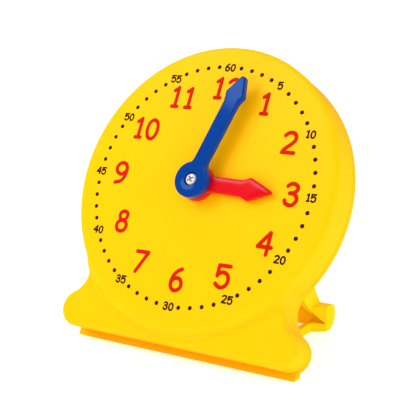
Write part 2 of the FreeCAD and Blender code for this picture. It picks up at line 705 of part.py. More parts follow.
def gears():
    half_tooth = 180.0 / value("minute_teeth")
    pinion = new_body("minute_pinion", place())
    toothed(pinion, "minute_teeth", "pinion_addendum", PINION_BACK, "pinion_face", DOWN + half_tooth)
    boss = f"{PINION_BOSS_FRONT} - {PINION_FRONT}"
    cylinder(pinion, "pinion_boss", "pinion_boss_radius", PINION_FRONT, boss)
    bored(pinion, "shaft_radius")

    reduction = new_body("reduction_gear", place(y=f"-{CENTRES}"))
    toothed(reduction, "reduction_teeth", "wheel_addendum", REDUCTION_WHEEL_BACK, "wheel_face", UP)
    small_face = f"{HOUR_WHEEL_FRONT} - {REDUCTION_WHEEL_FRONT}"
    half_tooth = 180.0 / value("small_teeth")
    toothed(reduction, "small_teeth", "pinion_addendum", REDUCTION_WHEEL_FRONT, small_face, UP + half_tooth)
    bored(reduction, "axle_radius + running_play")

    hour = new_body("hour_wheel", place())
    toothed(hour, "hour_teeth", "wheel_addendum", HOUR_WHEEL_BACK, "wheel_face", DOWN)
    sleeve = f"{HOUR_HUB_TOP} - {HOUR_WHEEL_FRONT}"
    cylinder(hour, "sleeve", "sleeve_radius", HOUR_WHEEL_FRONT, sleeve)
    bored(hour, SHAFT_BORE)


def shafts():
    shaft = new_body("minute_shaft", place())
    profile = new_sketch(shaft, "shaft_profile", "XZ_Plane")
    polygon(profile, (
        ("0", SHAFT_BACK),
        ("shaft_radius", SHAFT_BACK),
        ("shaft_radius", CLIP_BACK),
        ("groove_radius", CLIP_BACK),
        ("groove_radius", CLIP_FRONT),
        ("shaft_radius", CLIP_FRONT),
        ("shaft_radius", HAND_SCREW_SEAT),
        ("0", HAND_SCREW_SEAT),
    ))
    spin(shaft, profile)
    thread = new_sketch(shaft, "screw_bore", offset=HAND_SCREW_SEAT)
    cut(shaft, circle(thread, "hand_screw_radius"), "hand_screw_reach + pilot_extra", "back")

    clip = new_body("shaft_clip", place())
    cylinder(clip, "clip_disc", "clip_radius", CLIP_BACK, "clip_thick")
    bored(clip, "groove_radius")
    mouth = new_sketch(clip, "clip_mouth", offset=CLIP_BACK)
    rectangle(mouth, "-clip_mouth", "clip_mouth", "0", "beyond")
    cut(clip, mouth, "clip_thick")

    axle = new_body("reduction_axle", place(y=f"-{CENTRES}"))
    axle_top = "(axle_seat - dial_wall)"
    cylinder(axle, "axle", "axle_radius", GEAR_PLATE_BACK, f"{axle_top} - {GEAR_PLATE_BACK}")

    spacer = new_body("reduction_spacer", place(y=f"-{CENTRES}"))
    length = f"{REDUCTION_WHEEL_BACK} - axial_play - {GEAR_PLATE_FRONT}"
    cylinder(spacer, "spacer", "spacer_radius", GEAR_PLATE_FRONT, length)
    bored(spacer, "axle_radius")

    washer = new_body("friction_washer", place())
    dish = new_sketch(washer, "dish", "XZ_Plane")
    crown = f"{PINION_BACK} - running_play"
    polygon(dish, (
        ("shaft_radius + 2 * running_play", crown),
        ("shaft_radius + 2 * running_play", f"{crown} - friction_thick"),
        ("friction_radius", GEAR_PLATE_FRONT),
        ("friction_radius", f"{GEAR_PLATE_FRONT} + friction_thick"),
    ))
    spin(washer, dish)


def gear_plate():
    body = new_body("gear_plate", place())
    outline = new_sketch(body, "gear_plate_edge", offset=GEAR_PLATE_BACK)
    pad(body, rounded_plate(outline, GEAR_POSTS, "gear_plate_margin"), "gear_plate_thick")
    holes = [(x, y, "gear_screw_radius + screw_play") for x, y in GEAR_POSTS]
    holes += [("0", "0", SHAFT_BORE), ("0", f"-{CENTRES}", "axle_radius")]
    drilled = new_sketch(body, "gear_plate_holes", offset=GEAR_PLATE_BACK)
    for x, y, radius in holes:
        circle(drilled, radius, x, y)
    cut(body, drilled, "gear_plate_thick")


def dial_bush():
    body = new_body("dial_bush", place())
    profile = new_sketch(body, "bush_profile", "XZ_Plane")
    flange_back = "-dial_wall - bush_flange_thick"
    polygon(profile, (
        (BUSH_BORE, "0"),
        ("bush_radius", "0"),
        ("bush_radius", "-dial_wall"),
        ("bush_flange_radius", "-dial_wall"),
        ("bush_flange_radius", flange_back),
        (BUSH_BORE, flange_back),
    ))
    spin(body, profile)


# ---------------------------------------------------------------- hands


def hand(label, prefix, base, thick, bore, angle):
    """A hub with an arm and an arrow head, drawn towards twelve and then turned."""
    body = new_body(label, place(axis=Z_AXIS, angle=f"-{angle}"))
    disc = circle(new_sketch(body, "hub", offset=base), "hub_radius")
    radius, top = value("hub_radius"), value(f"{base} + {thick}")
    round_edges(body, pad(body, disc, thick), "hub_round", lambda e: is_ring(e, radius, top))
    arm, head, tip = f"{prefix}_arm_half", f"{prefix}_head_half", f"{prefix}_tip_half"
    reach = f"{prefix}_reach"
    widest = f"({reach} - {prefix}_head_long)"
    flare = f"({widest} - shoulder_long)"
    right = ((arm, "0"), (arm, flare), (head, widest), (tip, reach))
    left = tuple((f"-{x}", y) for x, y in reversed(right))
    blade = new_sketch(body, "blade", offset=f"{base} + arm_lift")
    pad(body, polygon(blade, right + left), "arm_thick")
    bored(body, bore)
    return body


def hands():
    hand("hour_hand", "hour", "hour_hub_base", "hour_hub_thick", "sleeve_radius", "hour_angle")
    minute = hand("minute_hand", "minute", MINUTE_HUB_BASE, "minute_hub_thick",
                  "shaft_radius", "minute_angle")
    recess = circle(new_sketch(minute, "recess", offset=MINUTE_HUB_TOP), "recess_radius")
    cut(minute, recess, "recess_deep", "back")
    washer = new_body("hand_washer", place())
    back = f"{MINUTE_HUB_BASE} - hand_washer_thick"
    cylinder(washer, "washer", "hand_washer_radius", back, "hand_washer_thick")
    bored(washer, "shaft_radius")


# ---------------------------------------------------------------- stand

TOE_TIP_BACK = "(foot_reach - foot_depth - toe_long)"
TOE_TIP_TOP = on_leg(TOE_TIP_BACK, "toe_high")
BRACE_BACK = f"((({HINGE_HIGH} - brace_high) * {SLOPE_SIN} - {HUB}) / {SLOPE_COS})"
# Below the hinge axis, where a runner's underside crosses the cover once folded.
SHUT_SLOPE = "(open_angle - lean - shut_angle)"
RUNNER_AT_COVER = f"(({HINGE_HIGH} - hinge_gap * sin({SHUT_SLOPE})) / cos({SHUT_SLOPE}))"


def stand_leg():
    """The leg in its own frame: hinge axis on X, foot towards -Y, dial side towards +Z."""
    spot = place("0", HINGE_Y, HINGE_Z, X_AXIS, "open_angle")
    body = new_body("stand_leg", spot)
    # The foot bar, rounded behind.
    front = "(foot_reach - foot_depth)"
    bar = new_sketch(body, "foot_bar", "YZ_Plane")
    polygon(bar, (
        on_leg(front, "0"),
        on_leg("foot_reach", "0"),
        on_leg("foot_reach", "foot_high"),
        on_leg(front, "foot_high"),
    ))
    solid = pad(body, bar, "2 * foot_half", "both")

    def along_corner(up):
        """Picks the bar's rear edge at a height above the floor."""
        y, z = (value(part) for part in on_leg("foot_reach", up))

        def picks(edge):
            centre = edge.BoundBox.Center
            near = math.hypot(centre.y - y, centre.z - z) < 1e-3
            return near and edge.BoundBox.XLength > value("foot_half")
        return picks

    lower = round_edges(body, solid, "foot_round", along_corner("0"))
    round_edges(body, lower, "foot_top_round", along_corner("foot_high"))
    # The side of the leg with its stop heel and runner, then the channel inside it.
    heel_root = (f"({HUB} * sin(open_angle))", f"({HUB} * cos(open_angle))")
    heel_end = (f"({heel_root[0]} + heel * cos(open_angle))",
                f"({heel_root[1]} - heel * sin(open_angle))")
    side = new_sketch(body, "leg_side", "YZ_Plane")
    polygon(side, (
        ("0", HUB),
        on_leg(BRACE_BACK, "brace_high"),
        on_leg(front, "brace_foot"),
        on_leg(front, "toe_high"),
        TOE_TIP_TOP,
        on_leg(TOE_TIP_BACK, "0"),
        on_leg("foot_reach - foot_round", "0"),
        on_leg("foot_reach - foot_top_round", "foot_high"),
        ("0", "-leg_back"),
        heel_end,
        heel_root,
    ))
    pad(body, side, "2 * leg_half", "both")
    eye = circle(new_sketch(body, "leg_eye", "YZ_Plane"), HUB)
    pad(body, eye, "2 * leg_half", "both")
    # Each flange flares out to the end of the foot bar, and its runner below does too.
    root, middle = f"({front} - flare_long)", f"({front} + foot_depth / 2)"
    fall = f"((brace_high - brace_foot) / ({front} - {BRACE_BACK}))"
    for _, sign in SIDES:
        for name, root_low, middle_low, root_high, end_low, end_high in (
            ("flare", f"(brace_foot + flare_long * {fall})", "brace_foot", "foot_high",
             "flare_low", "foot_high"),
            ("runner_flare", "0", "0", "toe_high", "0", "(flare_low + flare_thin)"),
        ):
            near = new_sketch(body, name, "YZ_Plane", f"{sign}(leg_half - flare_thin)")
            polygon(near, (on_leg(root, root_low), on_leg(middle, middle_low),
                           on_leg(middle, root_high), on_leg(root, root_high)))
            far = new_sketch(body, f"{name}_end", "YZ_Plane", f"{sign}foot_half")
            end = f"({front} - flare_thin)"
            polygon(far, (on_leg(end, end_low), on_leg(middle, end_low),
                          on_leg(middle, end_high), on_leg(end, end_high)))
            loft(body, near, far)
    channel = new_sketch(body, "leg_channel", "YZ_Plane")
    polygon(channel, (
        ("-window", "-beyond"),
        ("-window", "panel_thick - leg_back"),
        on_leg(front, "foot_high"),
        on_leg(front, "-beyond"),
        ("beyond", "beyond"),
        ("beyond", "-beyond"),
    ))
    inside = "2 * (leg_half - flange_thick)"
    cut(body, channel, inside, "both")
    arch = new_sketch(body, "foot_arch", "YZ_Plane")
    polygon(arch, (
        on_leg(f"{front} - foot_depth", "-foot_arch"),
        on_leg("foot_reach + foot_depth", "-foot_arch"),
        on_leg("foot_reach + foot_depth", "foot_arch"),
        on_leg(f"{front} - foot_depth", "foot_arch"),
    ))
    cut(body, arch, inside, "both")
    bore = circle(new_sketch(body, "leg_bore", "YZ_Plane"), "pin_radius + running_play")
    cut(body, bore, "2 * beyond", "both")

    pin = new_body("stand_hinge_pin", place("0", HINGE_Y, HINGE_Z))
    rod = circle(new_sketch(pin, "pin", "YZ_Plane"), "pin_radius")
    pad(pin, rod, "2 * (leg_half + lug_gap + lug_thick + pin_stand_out)", "both")


front_case()
rear_cover()
screws()
gear_plate()
dial_bush()
gears()
shafts()
hands()
stand_leg()
doc.recompute()

# ---------------------------------------------------------------- standing and saving

# Lean the dial back about the X axis, then put the middle of the whole at the origin.
leaned = place(axis=X_AXIS, angle="90 - lean")
for node, spot in nodes:
    node.Placement = leaned * spot
doc.recompute()
whole = FreeCAD.BoundBox()
for node, _ in nodes:
    whole.add(node.Shape.optimalBoundingBox(False, False))
stood = FreeCAD.Placement(FreeCAD.Vector(-whole.Center.x, -whole.Center.y, -whole.ZMin),
                          FreeCAD.Rotation())
for node, spot in nodes:
    node.Placement = stood * leaned * spot
doc.recompute()

for item in doc.Objects:
    if "Invalid" in item.State or "Error" in item.State:
        raise RuntimeError(f"{item.Name} is {item.State}")
for node, _ in nodes:
    if node.Shape.isNull() or not node.Shape.isValid():
        raise RuntimeError(f"{node.Label} has no valid shape")

os.makedirs("parts", exist_ok=True)
for node, _ in nodes:
    node.Shape.exportStep(f"parts/{node.Label}.step")
    print(f"{node.Label}: {len(node.Shape.Solids)} solid, {node.Shape.Volume:.1f} mm3")

print("size", [round(side, 3) for side in (whole.XLength, whole.YLength, whole.ZLength)])
frame = stood * leaned
for name, point in (("dial middle", FreeCAD.Vector()),
                    ("reduction axle", FreeCAD.Vector(0, -value(CENTRES), 0)),
                    ("stand hinge", FreeCAD.Vector(0, value(HINGE_Y), value(HINGE_Z)))):
    print(name, [round(part, 4) for part in frame.multVec(point)])
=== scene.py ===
import math

import bmesh
import bpy
import numpy as np
from mathutils import Matrix, Vector
from mathutils.geometry import delaunay_2d_cdt


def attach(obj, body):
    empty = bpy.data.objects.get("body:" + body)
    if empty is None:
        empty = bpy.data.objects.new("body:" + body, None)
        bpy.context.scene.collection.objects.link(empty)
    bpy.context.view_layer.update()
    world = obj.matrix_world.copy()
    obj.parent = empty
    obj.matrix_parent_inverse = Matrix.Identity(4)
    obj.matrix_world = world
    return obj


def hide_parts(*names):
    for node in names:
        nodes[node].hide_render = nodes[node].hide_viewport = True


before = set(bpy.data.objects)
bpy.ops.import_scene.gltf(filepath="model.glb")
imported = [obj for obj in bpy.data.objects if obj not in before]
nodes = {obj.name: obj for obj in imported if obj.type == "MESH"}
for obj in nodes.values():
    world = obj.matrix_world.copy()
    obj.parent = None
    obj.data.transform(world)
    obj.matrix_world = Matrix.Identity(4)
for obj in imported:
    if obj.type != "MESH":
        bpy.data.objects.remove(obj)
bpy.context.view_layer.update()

# The dial's own frame, in millimetres: X right along the dial, Y up along it, Z out of
# it, with zero at the middle of the dial's face.
LEAN = math.radians(25.34)
DIAL_Y, DIAL_Z = -12.1047, 57.432
DIAL = Matrix((
    (1, 0, 0, 0),
    (0, math.sin(LEAN), -math.cos(LEAN), DIAL_Y),
    (0, math.cos(LEAN), math.sin(LEAN), DIAL_Z),
    (0, 0, 0, 1),
))
TO_ROW = Matrix.Scale(0.001, 4) @ DIAL

# ---------------------------------------------------------------- materials

# Noise textures seldom leave this part of their range.
NOISE_LOW, NOISE_HIGH = 0.3, 0.7


def new_material(name):
    """A material with its shader, and the coordinates that its textures share."""
    material = bpy.data.materials.new(name)
    material.use_nodes = True
    tree = material.node_tree
    tree.nodes.clear()
    output = tree.nodes.new("ShaderNodeOutputMaterial")
    shader = tree.nodes.new("ShaderNodeBsdfPrincipled")
    tree.links.new(shader.outputs["BSDF"], output.inputs["Surface"])
    where = tree.nodes.new("ShaderNodeTexCoord")
    return material, tree, shader, where.outputs["Object"]


def noise(tree, where, scale, detail, stretch=None, rough=0.5):
    """A noise texture in the piece's own coordinates, stretched along an axis if asked."""
    if stretch is not None:
        mapping = tree.nodes.new("ShaderNodeMapping")
        mapping.inputs["Scale"].default_value = stretch
        tree.links.new(where, mapping.inputs["Vector"])
        where = mapping.outputs["Vector"]
    texture = tree.nodes.new("ShaderNodeTexNoise")
    texture.inputs["Scale"].default_value = scale
    texture.inputs["Detail"].default_value = detail
    texture.inputs["Roughness"].default_value = rough
    tree.links.new(where, texture.inputs["Vector"])
    return texture.outputs["Fac"]


def spread(tree, value, low, high):
    """Maps a texture's usual range onto low to high."""
    node = tree.nodes.new("ShaderNodeMapRange")
    node.inputs["From Min"].default_value = NOISE_LOW
    node.inputs["From Max"].default_value = NOISE_HIGH
    node.inputs["To Min"].default_value = low
    node.inputs["To Max"].default_value = high
    tree.links.new(value, node.inputs["Value"])
    return node.outputs["Result"]


def tint(tree, value, first, second):
    """A colour that goes from first to second with a texture."""
    ramp = tree.nodes.new("ShaderNodeValToRGB")
    low, high = ramp.color_ramp.elements
    low.position, high.position = NOISE_LOW, NOISE_HIGH
    low.color, high.color = (*first, 1), (*second, 1)
    tree.links.new(value, ramp.inputs["Fac"])
    return ramp.outputs["Color"]


def bump(tree, shader, layers):
    """Stacks bump layers, each a texture with its height in metres."""
    normal = None
    for value, height in layers:
        node = tree.nodes.new("ShaderNodeBump")
        node.inputs["Strength"].default_value = 1.0
        node.inputs["Distance"].default_value = height
        tree.links.new(value, node.inputs["Height"])
        if normal is not None:
            tree.links.new(normal, node.inputs["Normal"])
        normal = node.outputs["Normal"]
    tree.links.new(normal, shader.inputs["Normal"])


def moulded(name, colour, deeper, rough=0.3, specular=0.05, glow=0.15, grain=6e-6, sunk=6e-5):
    """Moulded plastic: faint flow mottle, fine tool grain and slight sink, both in metres."""
    material, tree, shader, where = new_material(name)
    mottle = noise(tree, where, 45.0, 3.0)
    tree.links.new(tint(tree, mottle, deeper, colour), shader.inputs["Base Color"])
    fine = noise(tree, where, 2600.0, 3.0, rough=0.6)
    satin = noise(tree, where, 260.0, 4.0)
    tree.links.new(spread(tree, satin, rough * 0.85, rough * 1.2), shader.inputs["Roughness"])
    sink = noise(tree, where, 70.0, 1.0)
    bump(tree, shader, ((sink, sunk), (fine, grain)))
    shader.inputs["Specular IOR Level"].default_value = specular
    shader.inputs["Subsurface Weight"].default_value = glow
    shader.inputs["Subsurface Radius"].default_value = (1.0, 0.45, 0.1)
    shader.inputs["Subsurface Scale"].default_value = 0.0015
    return material


# Depths in metres.
SCRATCH, INK_FILM = 4e-6, 1.2e-5


def metal(name, colour, darker, rough, brushed=(1.0, 1.0, 1.0), metallic=1.0):
    """Turned or rolled metal with fine marks from its making."""
    material, tree, shader, where = new_material(name)
    shader.inputs["Metallic"].default_value = metallic
    cloud = noise(tree, where, 400.0, 3.0)
    tree.links.new(tint(tree, cloud, darker, colour), shader.inputs["Base Color"])
    marks = noise(tree, where, 3000.0, 4.0, stretch=brushed)
    tree.links.new(spread(tree, marks, rough - 0.08, rough + 0.12), shader.inputs["Roughness"])
    bump(tree, shader, ((marks, SCRATCH),))
    return material


def ink(name, colour, thin):
    """Printed ink, a little thinner in places, with the low sheen of a dried film."""
    material, tree, shader, where = new_material(name)
    cover = noise(tree, where, 900.0, 4.0, rough=0.65)
    tree.links.new(tint(tree, cover, thin, colour), shader.inputs["Base Color"])
    satin = noise(tree, where, 1800.0, 2.0)
    tree.links.new(spread(tree, satin, 0.36, 0.52), shader.inputs["Roughness"])
    bump(tree, shader, ((cover, INK_FILM),))
    shader.inputs["Specular IOR Level"].default_value = 0.04
    return material


YELLOW = moulded("yellow_plastic", (0.96, 0.49, 0.001), (0.95, 0.47, 0.001))
YELLOW_BACK = moulded("yellow_cover_plastic", (0.96, 0.48, 0.001), (0.94, 0.455, 0.001), rough=0.4)
# The leg is the case's yellow made lighter: painted light on its faces that sit in shade.
YELLOW_LEG_PAINTED_LIGHT = moulded("yellow_leg_painted_light", (0.97, 0.60, 0.001), (0.96, 0.57, 0.001),
                     rough=0.36, glow=0.4)
BLUE = moulded("blue_plastic", (0.0013, 0.042, 0.255), (0.0011, 0.038, 0.235),
               rough=0.07, specular=0.24, glow=0.0, grain=5e-7, sunk=1.5e-5)
RED = moulded("red_plastic", (0.64, 0.002, 0.007), (0.59, 0.0015, 0.006),
              rough=0.16, specular=0.3, grain=2e-6)
WHITE = moulded("natural_acetal", (0.72, 0.70, 0.64), (0.66, 0.64, 0.57), rough=0.42, glow=0.2)
RED_GEAR = moulded("red_acetal", (0.45, 0.012, 0.01), (0.40, 0.01, 0.008), rough=0.4, glow=0.1)
PALE = moulded("washer_nylon", (0.80, 0.79, 0.75), (0.74, 0.73, 0.69), rough=0.45, glow=0.15)
# The hand screw's head: a pale, mostly diffuse colour is painted sheen in place of the plated
# metal's reflections.
SCREW_PAINTED_SHEEN = metal("plated_screw_painted_sheen", (0.92, 0.90, 0.88), (0.86, 0.84, 0.82),
               rough=0.24, metallic=0.25)
# Dark brown for the deep part of a screw's cross recess: painted shade.
RECESS_PAINTED_SHADE = metal("recess_painted_shade", (0.46, 0.40, 0.37), (0.34, 0.29, 0.27), rough=0.4, metallic=0.3)
STEEL = metal("zinc_plated_steel", (0.62, 0.62, 0.60), (0.48, 0.48, 0.47), rough=0.3)
ROD = metal("drawn_steel_rod", (0.60, 0.60, 0.61), (0.46, 0.46, 0.47),
            rough=0.24, brushed=(8.0, 1.0, 1.0))
SPRING = metal("spring_steel", (0.40, 0.41, 0.44), (0.30, 0.31, 0.34), rough=0.28)
BRASS = metal("turned_brass", (0.72, 0.48, 0.17), (0.6, 0.38, 0.12), rough=0.25)
RED_INK = ink("red_ink", (0.56, 0.007, 0.001), (0.53, 0.012, 0.001))
BLACK_INK = ink("black_ink", (0.016, 0.008, 0.002), (0.032, 0.014, 0.002))

# ---------------------------------------------------------------- mesh helpers

# Corners nearer to each other than this, in millimetres, become one.
WELD = 1e-4


def finish_piece(name, build, material, body, sharp=35.0, second=None):
    """Turns a bmesh drawn in the dial's frame into a piece that rides on a body."""
    mesh = bpy.data.meshes.new(name)
    bmesh.ops.remove_doubles(build, verts=build.verts, dist=WELD)
    build.transform(TO_ROW)
    build.normal_update()
    build.to_mesh(mesh)
    build.free()
    mesh.polygons.foreach_set("use_smooth", [True] * len(mesh.polygons))
    mesh.set_sharp_from_angle(angle=math.radians(sharp))
    mesh.materials.append(material)
    if second is not None:
        mesh.materials.append(second)
    piece = bpy.data.objects.new(name, mesh)
    bpy.context.scene.collection.objects.link(piece)
    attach(piece, body)
    return piece


def add_ring(build, points):
    return [build.verts.new(point) for point in points]


def bridge(build, first, second, closed=True):
    """Quads between two rings of the same count, both counterclockwise seen from +Z."""
    count = len(first)
    for n in range(count if closed else count - 1):
        m = (n + 1) % count
        corners = [first[n], first[m], second[m], second[n]]
        kept = list(dict.fromkeys(corners))
        if len(kept) > 2:
            build.faces.new(kept)


def stack(build, rings):
    """Closed rings of points joined one after another."""
    rows = [add_ring(build, ring) for ring in rings]
    for first, second in zip(rows, rows[1:]):
        bridge(build, first, second)
    return rows


def fill(build, loops, extra, height, keep):
    """Triangles between closed loops, through extra points, at a height per place."""
    flat, edges = [], []
    for loop in loops:
        start = len(flat)
        flat += [Vector(point[:2]) for point in loop]
        edges += [(start + n, start + (n + 1) % len(loop)) for n in range(len(loop))]
    flat += [Vector(point[:2]) for point in extra]
    places, _, faces, _, _, _ = delaunay_2d_cdt(flat, edges, [], 0, 1e-5)
    heights = height(np.array([tuple(p) for p in places]))
    made = [build.verts.new((p.x, p.y, z)) for p, z in zip(places, heights)]
    middles = np.array([np.mean([tuple(places[n]) for n in face], axis=0) for face in faces])
    for face, inside in zip(faces, keep(middles)):
        if inside:
            corners = [made[n] for n in face]
            ax, ay = places[face[1]] - places[face[0]]
            bx, by = places[face[2]] - places[face[0]]
            build.faces.new(corners if ax * by > ay * bx else corners[::-1])


def round_drop(depth, radius):
    """How far a rounded edge lies under its flat, at a distance in from the side."""
    inside = np.clip(depth / radius, 0, 1)
    return radius * (1 - np.sqrt(np.clip(1 - (1 - inside) ** 2, 0, 1)))


def smooth_step(value, low, high):
    """0 below low, 1 above high and a soft rise between."""
    share = np.clip((value - low) / (high - low), 0, 1)
    return share * share * (3 - 2 * share)


def circle_points(radius, count, height, x=0.0, y=0.0):
    angles = [2 * math.pi * n / count for n in range(count)]
    return [(x + radius * math.cos(a), y + radius * math.sin(a), height) for a in angles]


# ---------------------------------------------------------------- front shell

# Radii of the outline's arcs: the dial, the necks beside it and the lobes of the base.
DISC, NECK, LOBE = 50.3, 10.0, 6.3
# The base lies this far under the dial's face. The shell ends at SHELL_BACK.
RAISE, SHELL_BACK, WALL = 3.0, -13.0, 2.0
DISC_ROUND, BASE_ROUND = 2.0, 1.8
# Below the dial its face droops a little and then steps down onto the base.
DROOP, DROOP_START = 0.92, 47.2
STEP_START, STEP_END = 50.8, 53.0
# Rings of faces follow the outline in to the skirt's width. The rest is triangles.
SKIRT, SKIRT_RINGS, SKIRT_BUNCHING = 5.0, 16, 1.6
SEAM_ROUND = 0.3
SIDE_LEVELS = (-10.5, -8.0, -6.5)
HUB_BORE = 4.0
# Degrees of turn about the dial over which the base's shape fades in.
FADE_BEFORE, FADE_AFTER = 1.0, 9.0


def case_arcs(lobe_x, lobe_y, arch):
    """The outline's arcs, counterclockwise: middle, radius, start and end angle, inward.

    The dial meets each lobe through a neck, and the lobes meet in a flat arch below.
    """
    away = math.hypot(lobe_x, lobe_y)
    along = ((DISC + NECK) ** 2 - (NECK + LOBE) ** 2 + away ** 2) / (2 * away)
    aside = math.sqrt((DISC + NECK) ** 2 - along ** 2)
    neck_x = (lobe_x * along - lobe_y * aside) / away
    neck_y = (lobe_y * along + lobe_x * aside) / away
    arch_y = lobe_y - math.sqrt((arch + LOBE) ** 2 - lobe_x ** 2)
    rings = [
        (0.0, 0.0, DISC, False),
        (-neck_x, neck_y, NECK, True),
        (-lobe_x, lobe_y, LOBE, False),
        (0.0, arch_y, arch, True),
        (lobe_x, lobe_y, LOBE, False),
        (neck_x, neck_y, NECK, True),
    ]
    meets = []
    for n, (x, y, radius, _) in enumerate(rings):
        other_x, other_y, other_radius, _ = rings[(n + 1) % len(rings)]
        share = radius / (radius + other_radius)
        meets.append((x + (other_x - x) * share, y + (other_y - y) * share))
    arcs = []
    for n, (x, y, radius, inward) in enumerate(rings):
        start = math.atan2(meets[n - 1][1] - y, meets[n - 1][0] - x)
        end = math.atan2(meets[n][1] - y, meets[n][0] - x)
        if inward and end > start:
            end -= 2 * math.pi
        if not inward and end < start:
            end += 2 * math.pi
        arcs.append((x, y, radius, start, end, inward))
    return arcs


# The outside's own outline, all but straight below, and the outline of the CAD's shell.
STRAIGHT = 20000.0
ARCS = case_arcs(40.9, -48.75, STRAIGHT)
SOLID_ARCS = case_arcs(40.8, -49.0, 900.0)


def case_ring(inset, height):
    """The case's outline moved in by a distance, at a height that may depend on the place."""
    points = []
    for x, y, radius, start, end, inward in ARCS:
        if radius == STRAIGHT:
            count = 84
        else:
            step = 1.0 if radius == DISC else 0.6
            count = max(4, int(abs(end - start) * radius / step))
        reach = radius + inset if inward else radius - inset
        for n in range(count):
            angle = start + (end - start) * n / count
            points.append((x + reach * math.cos(angle), y + reach * math.sin(angle)))
    places = np.array(points)
    heights = height(places) if callable(height) else np.full(len(places), height)
    return [(px, py, pz) for (px, py), pz in zip(points, heights)]


def case_depth(places, arcs=ARCS):
    """Distance of each place from the outline."""
    nearest = np.full(len(places), 1e3)
    for x, y, radius, start, end, inward in arcs:
        off = places - (x, y)
        reach = np.hypot(off[:, 0], off[:, 1])
        low, high = min(start, end), max(start, end)
        turned = (np.arctan2(off[:, 1], off[:, 0]) - low) % (2 * math.pi)
        depth = np.abs(reach - radius)
        within = turned <= high - low
        nearest = np.where(within, np.minimum(nearest, depth), nearest)
    return nearest


def shoulder(reach):
    """Height of the round dial and the soft step where it runs out onto the base."""
    droop_width, step_width = STEP_START - DROOP_START, STEP_END - STEP_START
    droop = DROOP * np.clip((reach - DROOP_START) / droop_width, 0, 1) ** 2
    # The step starts with the slope that the droop ends with.
    share = np.clip((reach - STEP_START) / step_width, 0, 1)
    slope = 2 * DROOP / droop_width * step_width
    step = slope * share * (1 - share) ** 2 + (RAISE - DROOP) * share ** 2 * (3 - 2 * share)
    return -droop - step


# Degrees from the top of the dial to where its edge runs into a neck.
NECK_STARTS = 90 - math.degrees(ARCS[0][3])


def case_face(places, depth=None):
    """Height of the shell's front at each place."""
    depth = case_depth(places) if depth is None else depth
    reach = np.hypot(places[:, 0], places[:, 1])
    below = np.degrees(np.arctan2(np.abs(places[:, 0]), places[:, 1]))
    # 0 where the dial's own edge is the outline, 1 where the base lies outside it.
    on_base = smooth_step(below, NECK_STARTS - FADE_BEFORE, NECK_STARTS + FADE_AFTER)
    edge = DISC_ROUND + (BASE_ROUND - DISC_ROUND) * on_base
    return on_base * shoulder(reach) - round_drop(depth, edge)


def front_shell():
    """The outside as rings around the outline and triangles over the face."""
    build = bmesh.new()
    side = [(WALL, SHELL_BACK), (SEAM_ROUND, SHELL_BACK)]
    side += [(SEAM_ROUND * (1 - math.sin(a)), SHELL_BACK + SEAM_ROUND * (1 - math.cos(a)))
             for a in (0.5, 1.0, math.pi / 2)]
    side += [(0.0, level) for level in SIDE_LEVELS]
    rings = [case_ring(inset, height) for inset, height in side]
    for n in range(SKIRT_RINGS + 1):
        inset = SKIRT * (n / SKIRT_RINGS) ** SKIRT_BUNCHING
        rings.append(case_ring(inset, lambda p: case_face(p, np.full(len(p), inset))))
    rows = stack(build, rings)
    inner = [tuple(vert.co) for vert in rows[-1]]
    loop = np.array([p[:2] for p in inner])
    places = face_places()
    places = places[case_depth(places) > SKIRT + 0.25]
    places = places[inside_loop(places, loop)]

    def keep(middles):
        return inside_loop(middles, loop) & (np.hypot(*middles.T) > HUB_BORE)

    hub = circle_points(HUB_BORE, 96, 0.0)
    fill(build, (inner, hub), [tuple(p) for p in places], case_face, keep)
    # The hollow inside, its posts and bores come from the frame's own shell.
    add_inside(build, nodes["front_case"].data)
    return finish_piece("front_shell", build, YELLOW, "case")


def face_places():
    """Places on the dial's face: rings close together where it steps down, few elsewhere."""
    places = []
    for reach in np.concatenate((np.arange(49.8, 54.6, 0.24), np.arange(46.8, 49.7, 0.5), [40.0])):
        count = int(2 * math.pi * reach / 1.1)
        angles = [2 * math.pi * n / count for n in range(count)]
        places += [(reach * math.sin(a), -reach * math.cos(a)) for a in angles]
    for reach in (8.0, 14.0, 24.0):
        places += [point[:2] for point in circle_points(reach, 36, 0.0)]
    return np.array(places)


def inside_loop(places, loop):
    """True for places inside a closed loop."""
    ends = np.roll(loop, -1, axis=0)
    inside = np.zeros(len(places), bool)
    for (ax, ay), (bx, by) in zip(loop, ends):
        if ay == by:
            continue
        crosses = (ay > places[:, 1]) != (by > places[:, 1])
        inside ^= crosses & (places[:, 0] < ax + (places[:, 1] - ay) * (bx - ax) / (by - ay))
    return inside


def add_inside(build, mesh):
    """Copies the faces of the shell's hollow, leaving out its outside and its rear rim."""
    back = TO_ROW.inverted()
    near = 0.01
    points = np.array([tuple(back @ vert.co) for vert in mesh.vertices])
    depth = case_depth(points[:, :2], SOLID_ARCS)
    reach = np.hypot(points[:, 0], points[:, 1])
    # The hollow's side under the dial stands at the radius where the edge starts to round.
    hollow_side = DISC - WALL
    made = {}
    for face in mesh.polygons:
        index = list(face.vertices)
        z, d, r = points[index, 2], depth[index], reach[index]
        flat = z.min() > -near or z.max() < near - RAISE
        rounded = r.min() > hollow_side + 0.05 or (r.min() > hollow_side - 0.05
                                                   and z.max() > 0.05 - WALL)
        front = z.min() > -RAISE - near and (flat or rounded)
        side = d.max() < 0.02
        rim = z.max() < SHELL_BACK + near and d.min() < 0.02
        if front or side or rim:
            continue
        corners = []
        for n in index:
            key = tuple(np.round(points[n], 4))
            if key not in made:
                made[key] = build.verts.new(points[n])
            corners.append(made[key])
        # Left out: thin triangles whose corners merged, and a face that is there already.
        if len(set(corners)) > 2:
            try:
                build.faces.new(corners)
            except ValueError:
                pass


# ---------------------------------------------------------------- printing on the dial

